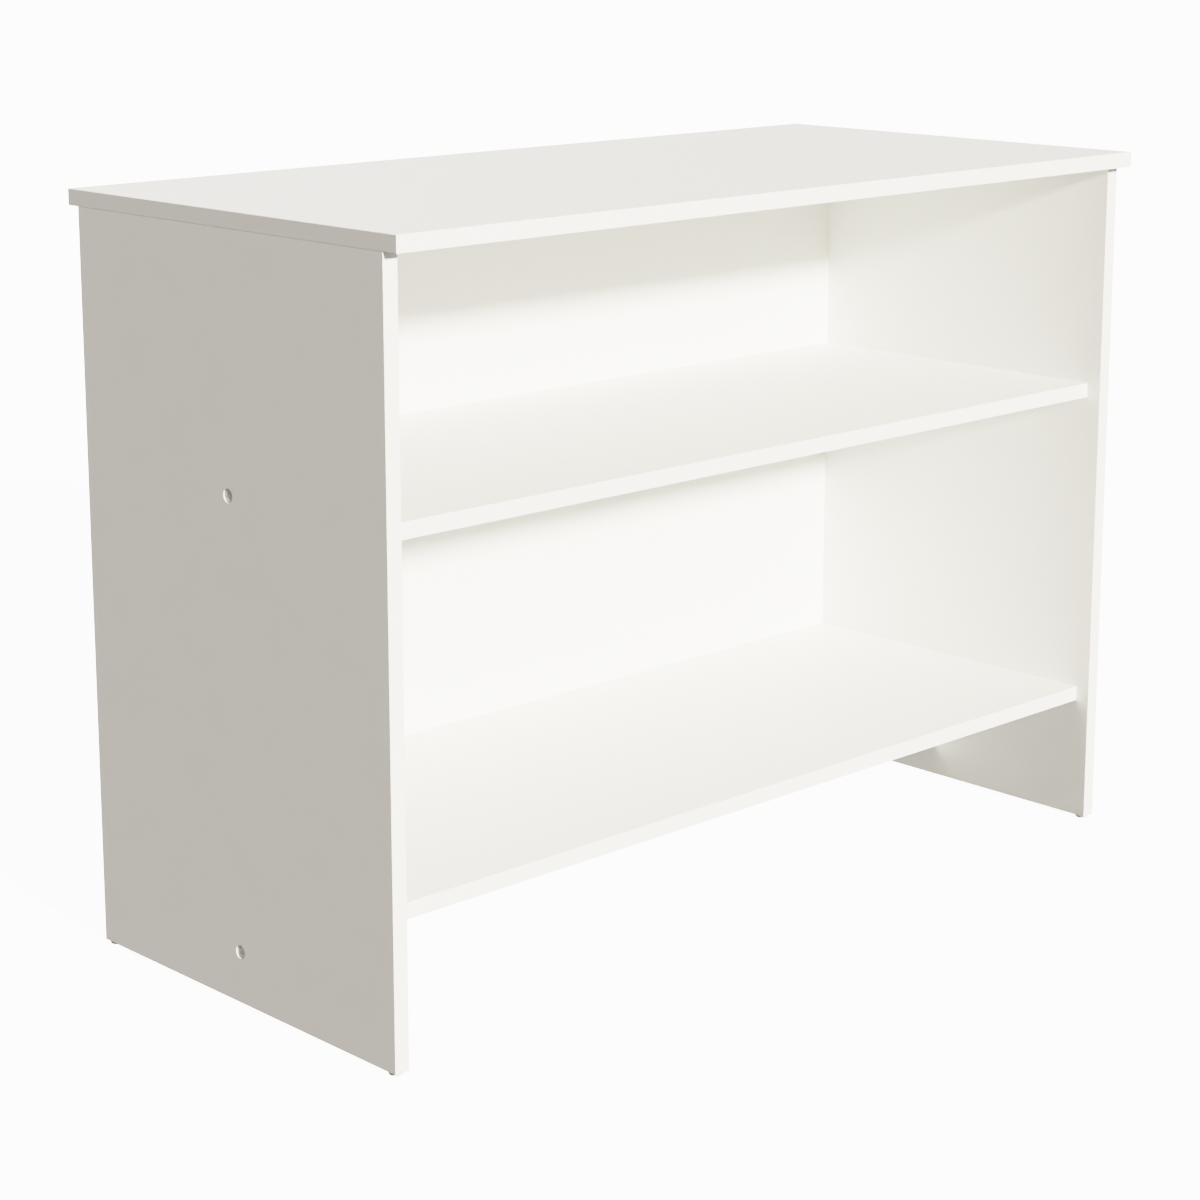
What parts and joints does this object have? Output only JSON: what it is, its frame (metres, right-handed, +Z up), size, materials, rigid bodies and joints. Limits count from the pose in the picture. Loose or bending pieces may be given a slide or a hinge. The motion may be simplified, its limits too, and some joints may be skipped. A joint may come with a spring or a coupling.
{
  "type": "desk hutch",
  "caption": "Free-standing white desk hutch: side panels under an overhanging top, open shelf bays, a set-in back panel and a clear space below the lower shelf.",
  "frame": {"origin": "bottom centre of the whole hutch, on the plane that its glides stand on", "axes": "+X along the width, to the right seen from the front; +Y to the back; +Z up"},
  "size_m": [1.02, 0.484, 0.75],
  "materials": {
    "melamine_board": "white melamine-faced chipboard, fine satin texture",
    "edge_band": "white satin plastic edge band",
    "back_board": "white-faced thin fibreboard",
    "dowel_wood": "plain beech",
    "zinc_steel": "bright zinc-plated steel",
    "cam_metal": "zinc die casting, dull",
    "nail_steel": "plain drawn steel",
    "cap_plastic": "light grey moulded plastic",
    "glide_plastic": "off-white moulded nylon"
  },
  "bodies": {
    "root": {"back_panel": "back_board", "back_panel_nails": "nail_steel", "bottom_shelf": "melamine_board", "bottom_shelf_dowels": "dowel_wood", "bottom_shelf_edge_band": "edge_band", "bracket_side_screws": "zinc_steel", "bracket_top_screws": "zinc_steel", "cam_bolts": "zinc_steel", "cam_locks": "cam_metal", "centre_rail": "melamine_board", "centre_rail_edge_band": "edge_band", "glide_front_left": "glide_plastic", "glide_front_right": "glide_plastic", "glide_pins": "nail_steel", "glide_rear_left": "glide_plastic", "glide_rear_right": "glide_plastic", "left_side_back_edge_band": "edge_band", "left_side_bottom_edge_band": "edge_band", "left_side_front_edge_band": "edge_band", "left_side_panel": "melamine_board", "middle_shelf": "melamine_board", "middle_shelf_dowels": "dowel_wood", "middle_shelf_edge_band": "edge_band", "rail_end_dowels": "dowel_wood", "rail_top_dowels": "dowel_wood", "right_side_back_edge_band": "edge_band", "right_side_bottom_edge_band": "edge_band", "right_side_front_edge_band": "edge_band", "right_side_panel": "melamine_board", "side_screw_caps": "cap_plastic", "side_screws": "zinc_steel", "top_back_edge_band": "edge_band", "top_bracket_front_left": "zinc_steel", "top_bracket_front_right": "zinc_steel", "top_bracket_rear_left": "zinc_steel", "top_bracket_rear_right": "zinc_steel", "top_front_edge_band": "edge_band", "top_left_edge_band": "edge_band", "top_panel": "melamine_board", "top_panel_dowels": "dowel_wood", "top_right_edge_band": "edge_band"}
  },
  "joints": []
}
